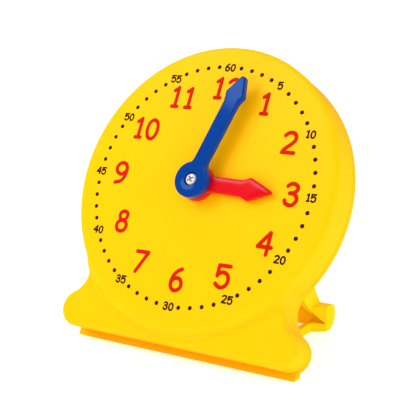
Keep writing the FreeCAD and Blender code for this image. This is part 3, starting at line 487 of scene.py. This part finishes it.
# Strokes of each figure as centre lines in millimetres, for a figure 8.2 high. A
# straight stroke is marked False, a curved one True.
FIGURES = {
    "0": [(True, [(0, 3.5), (1.45, 2.7), (2.1, 0.9), (2.1, -0.9), (1.4, -2.75), (0, -3.55),
                  (-1.4, -2.75), (-2.1, -0.9), (-2.1, 0.9), (-1.45, 2.7), (0, 3.5)])],
    "1": [(True, [(-1.15, 2.45), (-0.35, 2.95), (0.35, 3.6)]),
          (False, [(0.35, 3.6), (0.3, -3.4)]),
          (False, [(-0.95, -3.42), (1.3, -3.4)])],
    "2": [(True, [(-2.0, 2.45), (-1.15, 3.25), (0.0, 3.6), (1.4, 3.2), (2.05, 1.9), (1.7, 0.7),
                  (0.3, -0.8), (-1.2, -2.1), (-2.0, -3.3)]),
          (False, [(-2.0, -3.35), (2.3, -3.25)])],
    "3": [(True, [(-1.85, 2.65), (-0.9, 3.4), (0.3, 3.55), (1.6, 2.9), (1.85, 1.75), (0.9, 0.75),
                  (-0.7, 0.35)]),
          (True, [(-0.7, 0.35), (0.9, 0.2), (2.05, -0.8), (2.15, -2.0), (1.2, -3.35), (-0.2, -3.6),
                  (-1.5, -3.1), (-2.0, -2.2)])],
    "4": [(False, [(1.25, 3.6), (-2.35, -1.2)]), (False, [(-2.35, -1.25), (2.6, -1.15)]),
          (False, [(1.35, 3.6), (1.3, -3.6)])],
    "5": [(False, [(-2.0, 3.5), (2.2, 3.65)]), (False, [(-2.0, 3.5), (-2.05, 0.0)]),
          (True, [(-2.0, 0.1), (-1.1, 1.05), (0.3, 1.4), (1.75, 0.7), (2.35, -0.9), (1.9, -2.6),
                  (0.5, -3.6), (-0.9, -3.45), (-2.1, -2.65)])],
    "6": [(True, [(1.2, 3.7), (-0.2, 2.9), (-1.4, 1.4), (-1.95, -0.5), (-1.75, -2.4), (-0.6, -3.55),
                  (0.9, -3.55), (2.05, -2.5), (2.2, -1.2), (1.5, 0.1), (0.2, 0.55), (-1.1, 0.1),
                  (-1.85, -1.0)])],
    "7": [(False, [(-2.35, 3.35), (2.35, 3.5)]), (True, [(2.35, 3.5), (0.7, 0.3), (-1.2, -3.6)])],
    "8": [(True, [(0.1, 3.6), (1.4, 3.1), (1.65, 2.1), (1.1, 0.85), (0.05, 0.4), (-1.1, 0.85),
                  (-1.55, 2.1), (-1.2, 3.1), (0.1, 3.6)]),
          (True, [(0.1, 0.3), (1.6, -0.25), (2.15, -1.6), (1.5, -3.05), (0.1, -3.55),
                  (-1.35, -3.05), (-1.95, -1.6), (-1.4, -0.25), (0.1, 0.3)])],
    "9": [(True, [(2.1, 1.0), (1.0, -0.35), (-0.4, -0.45), (-1.75, 0.4), (-2.1, 1.8), (-1.3, 3.2),
                  (0.2, 3.65), (1.65, 3.0), (2.35, 1.3), (2.1, -1.0), (0.8, -3.0), (-1.5, -3.75)])],
}
# Each hour's place in radii of the ring of dots, and each figure's shift in millimetres.
HOURS = (
    ("12", 0.004, 0.812, (-2.5, 3.3)), ("1", 0.409, 0.711, (0,)), ("2", 0.702, 0.417, (0,)),
    ("3", 0.826, 0.019, (0,)), ("4", 0.707, -0.382, (0,)), ("5", 0.421, -0.690, (0,)),
    ("6", 0.021, -0.783, (0,)), ("7", -0.357, -0.698, (0,)), ("8", -0.645, -0.399, (0,)),
    ("9", -0.795, 0.006, (0,)), ("10", -0.655, 0.409, (-3.3, 2.45)),
    ("11", -0.380, 0.707, (-2.9, 2.7)),
)
# Each minute figure's place in radii of the ring of dots.
MINUTES = (
    ("60", 0.0, 0.996), ("5", 0.498, 0.872), ("10", 0.862, 0.502), ("15", 0.992, 0.012),
    ("20", 0.864, -0.486), ("25", 0.510, -0.857), ("30", 0.010, -1.0), ("35", -0.502, -0.868),
    ("40", -0.862, -0.5), ("45", -1.002, 0.0), ("50", -0.868, 0.496), ("55", -0.496, 0.866),
)
DOT_RING, DOT_RADIUS = 42.5, 0.78
PRINT_TURN = math.radians(-1.4)
# Minute figures: size beside the hour figures, and pitch of two figures before that.
MINUTE_SCALE, PITCH, PITCH_AFTER_1 = 0.335, 6.6, 5.6
# Half width of a stroke, height of its crown and the level that it starts from.
HOUR_STROKE = (0.74, 0.07, -0.012)
MINUTE_STROKE = (0.34, 0.035, -0.006)
DOT_HIGH, DOT_LOW = 0.04, -0.006


def printed(x, y):
    """A place on the print, which sits a little clockwise of the case."""
    return (x * math.cos(PRINT_TURN) - y * math.sin(PRINT_TURN),
            x * math.sin(PRINT_TURN) + y * math.cos(PRINT_TURN))


def curve_through(points, step):
    """Points a step apart along a smooth line through the given ones."""
    if len(points) < 3:
        return resample(np.array(points, float), step)
    closed = points[0] == points[-1]
    core = points[:-1] if closed else points
    count = len(core)
    line = []
    for n in range(count if closed else count - 1):
        near = [(n + k) % count if closed else min(max(n + k, 0), count - 1) for k in (-1, 0, 1, 2)]
        a, b, c, d = (np.array(core[m], float) for m in near)
        for t in np.linspace(0, 1, 16, endpoint=False):
            line.append(0.5 * (2 * b + (c - a) * t + (2 * a - 5 * b + 4 * c - d) * t ** 2
                               + (3 * b - a - 3 * c + d) * t ** 3))
    line.append(np.array(points[-1], float))
    return resample(np.array(line), step)


def resample(line, step):
    """The same line with its points a step apart."""
    lengths = np.concatenate(([0], np.cumsum(np.hypot(*np.diff(line, axis=0).T))))
    places = np.linspace(0, lengths[-1], max(2, int(lengths[-1] / step) + 1))
    return np.stack([np.interp(places, lengths, line[:, k]) for k in (0, 1)], axis=1)


def stroke(build, line, half, high, low, across=4):
    """A low rounded bead along a line, with round ends."""
    shares = [math.sin(math.pi / 2 * k / across) for k in range(-across, across + 1)]
    levels = [low + high * math.sqrt(1 - share * share) for share in shares]
    ahead = np.gradient(line, axis=0)
    ahead /= np.hypot(*ahead.T)[:, None]
    rows = []
    for (x, y), (ux, uy) in zip(line, ahead):
        rows.append([build.verts.new((x + uy * half * share, y - ux * half * share, level))
                     for share, level in zip(shares, levels)])
    for first, second in zip(rows, rows[1:]):
        for k in range(2 * across):
            build.faces.new((first[k], first[k + 1], second[k + 1], second[k]))
    steps = 8
    for end, sign in ((0, -1), (-1, 1)):
        row, (x, y), (ux, uy) = rows[end], line[end], ahead[end]
        arcs = []
        for k in range(across + 1, 2 * across + 1):
            arc = [row[k]]
            for n in range(1, steps):
                angle = math.pi * n / steps
                along = sign * half * shares[k] * math.sin(angle)
                aside = half * shares[k] * math.cos(angle)
                arc.append(build.verts.new((x + ux * along + uy * aside,
                                            y + uy * along - ux * aside, levels[k])))
            arcs.append(arc + [row[2 * across - k]])
        for n in range(steps):
            faces = [(row[across], arcs[0][n], arcs[0][n + 1])]
            faces += [(inner[n], outer[n], outer[n + 1], inner[n + 1])
                      for inner, outer in zip(arcs, arcs[1:])]
            for face in faces:
                build.faces.new(face if sign > 0 else face[::-1])


def figures(build, text, x, y, offsets, scale, bead):
    """A number, each of its figures shifted sideways from the place."""
    fine = 0.25 / math.sqrt(scale)
    for figure, offset in zip(text, offsets):
        for curved, points in FIGURES[figure]:
            line = curve_through(points, fine) if curved else resample(np.array(points, float), 0.8)
            placed = [printed(x + (offset + px) * scale, y + py * scale) for px, py in line]
            stroke(build, np.array(placed), *bead)


def print_piece(build, name, material):
    return finish_piece(name, build, material, "case", sharp=60.0)


def printing():
    build = bmesh.new()
    for text, x, y, offsets in HOURS:
        figures(build, text, x * DOT_RING, y * DOT_RING, offsets, 1.0, HOUR_STROKE)
    print_piece(build, "hour_figures", RED_INK)
    build = bmesh.new()
    for text, x, y in MINUTES:
        pitch = PITCH_AFTER_1 if text[0] == "1" else PITCH
        offsets = (0,) if len(text) == 1 else (-pitch / 2, pitch / 2)
        figures(build, text, x * DOT_RING, y * DOT_RING, offsets, MINUTE_SCALE, MINUTE_STROKE)
    print_piece(build, "minute_figures", BLACK_INK)
    build = bmesh.new()
    levels = 6
    for minute in range(60):
        if minute % 5 == 0:
            continue
        angle = math.radians(90 - 6 * minute)
        x, y = printed(DOT_RING * math.cos(angle), DOT_RING * math.sin(angle))
        rings = []
        for k in range(levels):
            share = math.cos(math.pi / 2 * k / levels)
            height = DOT_LOW + DOT_HIGH * math.sqrt(1 - share ** 2)
            rings.append(circle_points(DOT_RADIUS * share, 20, height, x, y))
        rows = stack(build, rings)
        build.faces.new(rows[-1])
    print_piece(build, "minute_dots", BLACK_INK)


# ---------------------------------------------------------------- hands


def rounded_outline(corners, step=0.35):
    """A closed outline through corners (x, y, radius), each rounded to its radius."""
    count, points = len(corners), []
    for n, (x, y, radius) in enumerate(corners):
        here = np.array((x, y), float)
        before = np.array(corners[n - 1][:2], float) - here
        after = np.array(corners[(n + 1) % count][:2], float) - here
        before, after = before / np.hypot(*before), after / np.hypot(*after)
        cross = before[0] * after[1] - before[1] * after[0]
        half = math.acos(max(-1.0, min(1.0, float(before @ after)))) / 2
        if radius <= 0 or abs(cross) < 1e-6:
            points.append(here)
            continue
        back = radius / math.tan(half)
        start, end = here + before * back, here + after * back
        middle = here + (before + after) / np.hypot(*(before + after)) * radius / math.sin(half)
        first = math.atan2(*(start - middle)[::-1])
        sweep = (math.atan2(*(end - middle)[::-1]) - first + math.pi) % (2 * math.pi) - math.pi
        pieces = max(3, int(abs(sweep) * radius / step))
        for k in range(pieces + 1):
            angle = first + sweep * k / pieces
            points.append(middle + radius * np.array((math.cos(angle), math.sin(angle))))
    points.append(points[0])
    line = np.array(points)
    out = []
    for a, b in zip(line, line[1:]):
        parts = max(1, int(round(np.hypot(*(b - a)) / (2 * step))))
        out += [a + (b - a) * k / parts for k in range(parts)]
    return np.array(out)


def moved_in(outline, distance):
    """The outline moved in along its own normals."""
    ahead = np.roll(outline, -1, axis=0) - outline
    ahead /= np.hypot(*ahead.T)[:, None]
    normals = np.stack((-ahead[:, 1], ahead[:, 0]), axis=1)
    joined = normals + np.roll(normals, 1, axis=0)
    length = (joined ** 2).sum(axis=1)[:, None] / 2
    return outline + joined / length * distance


HUB_RADIUS = 6.3
# The bead under a hand's outline, and how far in its rings lie.
UNDER_ROUND, UNDER_INSETS = 0.25, (0.6, 0.25, 0.12, 0.04, 0.0)
BORE_SIDES, BORE_ROUND = 48, 0.15


def hand_outline(arm_near, arm_far, head, head_long, tip, reach, tip_round):
    """Counterclockwise outline of a hub with an arm and an arrow head towards +Y.

    arm_near, arm_far, head and tip are half widths; reach is the tip's radius.
    """
    joint = math.asin(arm_near / HUB_RADIUS)
    # The hub's circle stops short of the arm to leave room for the rounded corner.
    start, steps = 1.12 * joint, 64
    hub = []
    for n in range(steps + 1):
        angle = math.pi / 2 + start + 2 * (math.pi - start) * n / steps
        hub.append((HUB_RADIUS * math.cos(angle), HUB_RADIUS * math.sin(angle), 0))
    widest = reach - head_long
    right = [
        (arm_near, HUB_RADIUS * math.cos(joint) + 0.9, 1.2),
        (arm_far, widest - 2.6, 3.4),
        (head, widest, 0.9),
        (tip, reach, tip_round),
    ]
    left = [(-x, y, r) for x, y, r in reversed(right)]
    return rounded_outline(hub + right + left)


def hand(name, node, body, material, outline, turned, *, base, arm_low, top,
         hub_round, arm_round, squash, crown, bore, shaft, bore_floor):
    """A moulded hand, turned clockwise from 12.

    Its hub reaches from base to top and its arm from arm_low to top. The edges are
    rounded by hub_round and arm_round, times squash in height, and the arm rises to its
    middle by crown. The bore is stepped: wide down to bore_floor, then the shaft's.
    """
    build = bmesh.new()

    def upper(places, depth):
        share = smooth_step(places[:, 1], HUB_RADIUS - 0.6, HUB_RADIUS + 3.2)
        edge = hub_round + (arm_round - hub_round) * share
        rise = crown * np.clip(1 - (1 - np.clip(depth / 2.2, 0, 1)) ** 2, 0, 1) * share
        return top - crown * share + rise - round_drop(depth, edge) * squash

    def lower(places, depth):
        share = smooth_step(places[:, 1], HUB_RADIUS - 0.2, HUB_RADIUS + 0.8)
        return base + (arm_low - base) * share + round_drop(depth, UNDER_ROUND)

    def ring_at(inset, height):
        ring = moved_in(outline, inset)
        heights = height(ring, np.full(len(ring), inset))
        return [(x, y, z) for (x, y), z in zip(ring, heights)]

    insets = [hub_round * (n / 9) ** 1.5 for n in range(10)] + [hub_round + 0.45]
    stack(build, [ring_at(inset, lower) for inset in UNDER_INSETS]
          + [ring_at(inset, upper) for inset in insets])

    def depth_of(places):
        return np.min([np.hypot(*(places - point).T) for point in outline], axis=0)

    loop = moved_in(outline, insets[-1])
    rim = bore + BORE_ROUND
    extra = np.array([(x, y) for y in np.arange(8.0, loop[:, 1].max() - 1.0, 0.8)
                      for x in np.arange(-3.2, 3.21, 0.4)])
    extra = extra[inside_loop(extra, moved_in(outline, insets[-1] + 0.2))]
    fill(build, ([tuple(p) for p in loop], circle_points(rim, BORE_SIDES, top)),
         [tuple(p) for p in extra], lambda p: upper(p, depth_of(p)),
         lambda m: inside_loop(m, loop) & (np.hypot(*m.T) > rim - 0.01))
    steps = ((rim, top), (bore + 0.05, top - 0.04), (bore, top - 0.16), (bore, bore_floor),
             (shaft, bore_floor), (shaft, base))
    stack(build, [circle_points(radius, BORE_SIDES, z) for radius, z in steps])
    count = len(build.faces)
    inset = UNDER_INSETS[0]
    under = moved_in(outline, inset)
    fill(build, ([tuple(p) for p in under], circle_points(shaft, BORE_SIDES, base)), [],
         lambda p: lower(p, np.full(len(p), inset)),
         lambda m: inside_loop(m, under) & (np.hypot(*m.T) > shaft))
    build.faces.ensure_lookup_table()
    for face in build.faces[count:]:
        face.normal_flip()
    build.transform(Matrix.Rotation(math.radians(-turned), 4, "Z"))
    piece = finish_piece(name, build, material, body)
    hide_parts(node)
    return piece


# ---------------------------------------------------------------- screws


def screw_head(build, place, out, radius, reach, shank):
    """A domed cross-recessed head with its shank, seated at a place and facing out.

    reach is the shank's length and shank its radius.
    """
    sectors, levels = 96, 22
    dome = 0.62 * HEAD_HIGH
    arm = 0.6 * radius
    turns = [2 * math.pi * n / sectors for n in range(sectors)]

    def sunk(r, angle):
        """How far down the recess is at a place: 0 on the dome, 1 on its floor."""
        x, y = r * math.cos(angle), r * math.sin(angle)
        half = 0.17 * radius
        depth = 0.0
        for along, across in ((x, y), (y, x)):
            wide = half * (1 + 0.9 * max(0.0, 1 - abs(along) / (0.3 * radius)))
            near = (wide - abs(across)) / (0.09 * radius) + 0.5
            end = (arm - abs(along)) / (0.16 * radius) + 0.5
            depth = max(depth, min(1.0, max(0.0, near)) * min(1.0, max(0.0, end)))
        return depth

    def top(r, angle):
        from_flat = max(0.0, (r / radius - 0.25) / 0.75)
        height = HEAD_HIGH - dome * (1 - math.sqrt(max(0.0, 1 - from_flat ** 2)))
        return height - sunk(r, angle) * 0.55 * HEAD_HIGH * (1 - 0.35 * r / arm)

    local = bmesh.new()
    rings = [circle_points(r, sectors, z) for r, z in (
        (shank * 0.4, -reach), (shank, -reach + shank * 0.8), (shank, 0.0),
        (radius * 0.97, 0.0), (radius, 0.06))]
    for k in range(levels):
        r = radius * (1 - k / levels) ** 0.9
        rings.append([(r * math.cos(a), r * math.sin(a), top(r, a)) for a in turns])
    rows = stack(local, rings)
    crown = local.verts.new((0, 0, top(0.0, 0.0)))
    for n in range(sectors):
        local.faces.new((rows[-1][n], rows[-1][(n + 1) % sectors], crown))
    local.faces.new(rows[0][::-1])
    # Faces deep in the cross recess take the second material, which is painted shade.
    for face in local.faces:
        spot = face.calc_center_median()
        if spot.z > 0.1 and sunk(math.hypot(spot.x, spot.y), math.atan2(spot.y, spot.x)) > 0.45:
            face.material_index = 1
    seat = Matrix.Translation(place)
    if not out:
        seat = seat @ Matrix.Rotation(math.pi, 4, "X")
    local.transform(seat @ Matrix.Rotation(RECESS_TURN, 4, "Z"))
    part = bpy.data.meshes.new("screw_part")
    local.to_mesh(part)
    local.free()
    build.from_mesh(part)
    bpy.data.meshes.remove(part)


HEAD_HIGH, RECESS_TURN = 1.6, math.radians(31)
HAND_SCREW_SEAT, COVER_BACK = 4.9, -15.0
COVER_SCREWS = ((30.0, 28.0), (-30.0, 28.0), (40.8, -49.0), (-40.8, -49.0))


def screws():
    build = bmesh.new()
    # The head's pale colour is painted sheen and its recess is painted shade.
    screw_head(build, (0, 0, HAND_SCREW_SEAT), True, radius=1.98, reach=5.0, shank=1.0)
    piece = finish_piece("hand_screw_head", build, SCREW_PAINTED_SHEEN, "minute", second=RECESS_PAINTED_SHADE)
    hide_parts("hand_screw")
    build = bmesh.new()
    # The recesses of the cover screws are darkened with painted shade.
    for x, y in COVER_SCREWS:
        screw_head(build, (x, y, COVER_BACK), False, radius=2.3, reach=7.0, shank=1.25)
    piece = finish_piece("cover_screws", build, STEEL, "case", second=RECESS_PAINTED_SHADE)
    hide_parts("case_screws")


# ---------------------------------------------------------------- pieces

shell = front_shell()
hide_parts("front_case")
printing()
minute_outline = hand_outline(arm_near=2.7, arm_far=2.8, head=3.9, head_long=6.7,
                              tip=0.8, reach=38.6, tip_round=0.78)
minute = hand("minute_hand_moulding", "minute_hand", "minute", BLUE, minute_outline, 16.6,
              base=3.5, arm_low=4.1, top=6.4, hub_round=0.7, arm_round=0.7, squash=1.0,
              crown=0.0, bore=2.4, shaft=1.5, bore_floor=4.9)
hour_outline = hand_outline(arm_near=2.75, arm_far=2.85, head=4.05, head_long=8.2,
                            tip=0.5, reach=28.8, tip_round=0.45)
hour = hand("hour_hand_moulding", "hour_hand", "hour", RED, hour_outline, 91.4,
            base=0.4, arm_low=1.0, top=3.2, hub_round=0.9, arm_round=0.8, squash=0.9,
            crown=0.25, bore=3.0, shaft=3.0, bore_floor=2.0)
screws()

# The frame's own solids: each one's material and the width of its edges' bevel in mm.
DRESSED = {
    "rear_cover": (YELLOW_BACK, 0.3),
    # The leg's lighter yellow is painted light for its shaded faces.
    "stand_leg": (YELLOW_LEG_PAINTED_LIGHT, 0.45),
    "gear_plate": (WHITE, 0.1),
    "gear_plate_screws": (STEEL, 0.04),
    "dial_bush": (BRASS, 0.05),
    "minute_pinion": (WHITE, 0),
    "hour_wheel": (RED_GEAR, 0),
    "reduction_gear": (WHITE, 0),
    "minute_shaft": (ROD, 0.05),
    "shaft_clip": (SPRING, 0.04),
    "reduction_axle": (ROD, 0.05),
    "reduction_spacer": (PALE, 0.05),
    "friction_washer": (SPRING, 0),
    "hand_washer": (PALE, 0.03),
    "stand_hinge_pin": (ROD, 0.25),
}
for name, (material, edge) in DRESSED.items():
    node = nodes[name]
    node.data.materials.clear()
    node.data.materials.append(material)
    if edge:
        weld = node.modifiers.new("weld", "WELD")
        weld.merge_threshold = 2e-6  # metres
        bevel = node.modifiers.new("edges", "BEVEL")
        bevel.width = edge * 0.001
        bevel.segments = 3
        bevel.limit_method = "ANGLE"
        bevel.angle_limit = math.radians(40)
        bevel.use_clamp_overlap = True
        bevel.harden_normals = False

# ---------------------------------------------------------------- floor, light, camera


def area_light(name, place, target, wide, high, power, colour=(1, 1, 1)):
    data = bpy.data.lights.new(name, "AREA")
    data.shape = "RECTANGLE"
    data.size, data.size_y = wide, high
    data.energy = power
    data.color = colour
    light = bpy.data.objects.new(name, data)
    light.location = place
    light.rotation_mode = "QUATERNION"
    light.rotation_quaternion = (Vector(target) - Vector(place)).to_track_quat("-Z", "Y")
    bpy.context.scene.collection.objects.link(light)
    return light


def backdrop():
    """One pale sheet: a level floor that curves up far behind, seen but not mirrored."""
    material, tree, shader, where = new_material("pale_floor")
    paper = noise(tree, where, 120.0, 3.0)
    tree.links.new(tint(tree, paper, (0.93, 0.93, 0.93), (0.95, 0.95, 0.95)),
                   shader.inputs["Base Color"])
    shader.inputs["Roughness"].default_value = 0.9
    shader.inputs["Specular IOR Level"].default_value = 0.0
    shader.inputs["Emission Color"].default_value = (1.0, 1.0, 1.0, 1.0)
    shader.inputs["Emission Strength"].default_value = 0.4
    curve, behind, top = 0.8, 1.0, 2.5
    profile = [(-2.5, 0.0), (-1.0, 0.0), (0.0, 0.0), (behind, 0.0)]
    profile += [(behind + curve * math.sin(a), curve - curve * math.cos(a))
                for a in np.linspace(0.1, math.pi / 2, 16)]
    profile += [(behind + curve, top)]
    build = bmesh.new()
    rows = [[build.verts.new((x, y, z)) for x in np.linspace(-3.0, 3.0, 7)] for y, z in profile]
    for first, second in zip(rows, rows[1:]):
        bridge(build, first, second, closed=False)
    mesh = bpy.data.meshes.new("floor")
    build.to_mesh(mesh)
    build.free()
    mesh.polygons.foreach_set("use_smooth", [True] * len(mesh.polygons))
    mesh.materials.append(material)
    piece = bpy.data.objects.new("floor", mesh)
    bpy.context.scene.collection.objects.link(piece)
    piece.visible_glossy = False


def seen_at(point, azimuth, elevation, away):
    """A place in a direction from a point: azimuth from -Y towards -X, in degrees."""
    a, e = math.radians(azimuth), math.radians(elevation)
    direction = Vector((-math.sin(a) * math.cos(e), -math.cos(a) * math.cos(e), math.sin(e)))
    return Vector(point) + away * direction


backdrop()
world = bpy.data.worlds.new("studio")
bpy.context.scene.world = world
world.use_nodes = True
sky = world.node_tree.nodes["Background"]
sky.inputs["Color"].default_value = (1.0, 0.93, 0.9, 1.0)
# The room is dimmer than its panels where the plastic mirrors it.
ray = world.node_tree.nodes.new("ShaderNodeLightPath")
dim = world.node_tree.nodes.new("ShaderNodeMapRange")
dim.inputs["To Min"].default_value = 0.91
dim.inputs["To Max"].default_value = 0.08
world.node_tree.links.new(ray.outputs["Is Glossy Ray"], dim.inputs["Value"])
world.node_tree.links.new(dim.outputs["Result"], sky.inputs["Strength"])
middle = Vector((0.0, -0.0121, 0.0574))
minute_arm = Vector((0.0066, -0.0074, 0.0817))
key = area_light("key", middle + Vector((-0.52, -0.55, 0.55)), middle, 0.5, 0.5, 4.7,
                 (0.9, 1.0, 1.0))
key.visible_glossy = False
fill_light = area_light("fill", middle + Vector((0.78, -0.12, 0.05)), middle, 0.4, 0.4, 2.4)
fill_light.visible_glossy = False
# Panels that only show as gloss: one along the hands, one down the right of the case.
panel = area_light("panel", seen_at(minute_arm, 40.6, 50.0, 0.9), middle, 0.6, 0.42, 3.6,
                   (0.45, 0.7, 1.0))
panel.visible_diffuse = False
streak = area_light("streak", middle + Vector((0.75, 0.1, 0.25)), middle, 0.12, 0.5, 0.3)
streak.visible_diffuse = False

# The camera stands to the right of the dial and a little above it, as the photo's does.
CAMERA_AZIMUTH, CAMERA_ELEVATION = math.radians(32.65), math.radians(11.39)
camera_data = bpy.data.cameras.new("camera")
camera_data.lens = 84.73
camera_data.sensor_width = 36.0
camera_data.clip_start, camera_data.clip_end = 0.01, 20.0
camera = bpy.data.objects.new("camera", camera_data)
look = Vector((-math.sin(CAMERA_AZIMUTH) * math.cos(CAMERA_ELEVATION),
               math.cos(CAMERA_AZIMUTH) * math.cos(CAMERA_ELEVATION),
               -math.sin(CAMERA_ELEVATION)))
camera.location = middle + Vector((0.1808, -0.2756, 0.0575))
camera.rotation_mode = "QUATERNION"
camera.rotation_quaternion = look.to_track_quat("-Z", "Y")
bpy.context.scene.collection.objects.link(camera)
bpy.context.scene.camera = camera
bpy.context.scene.view_settings.view_transform = "Standard"
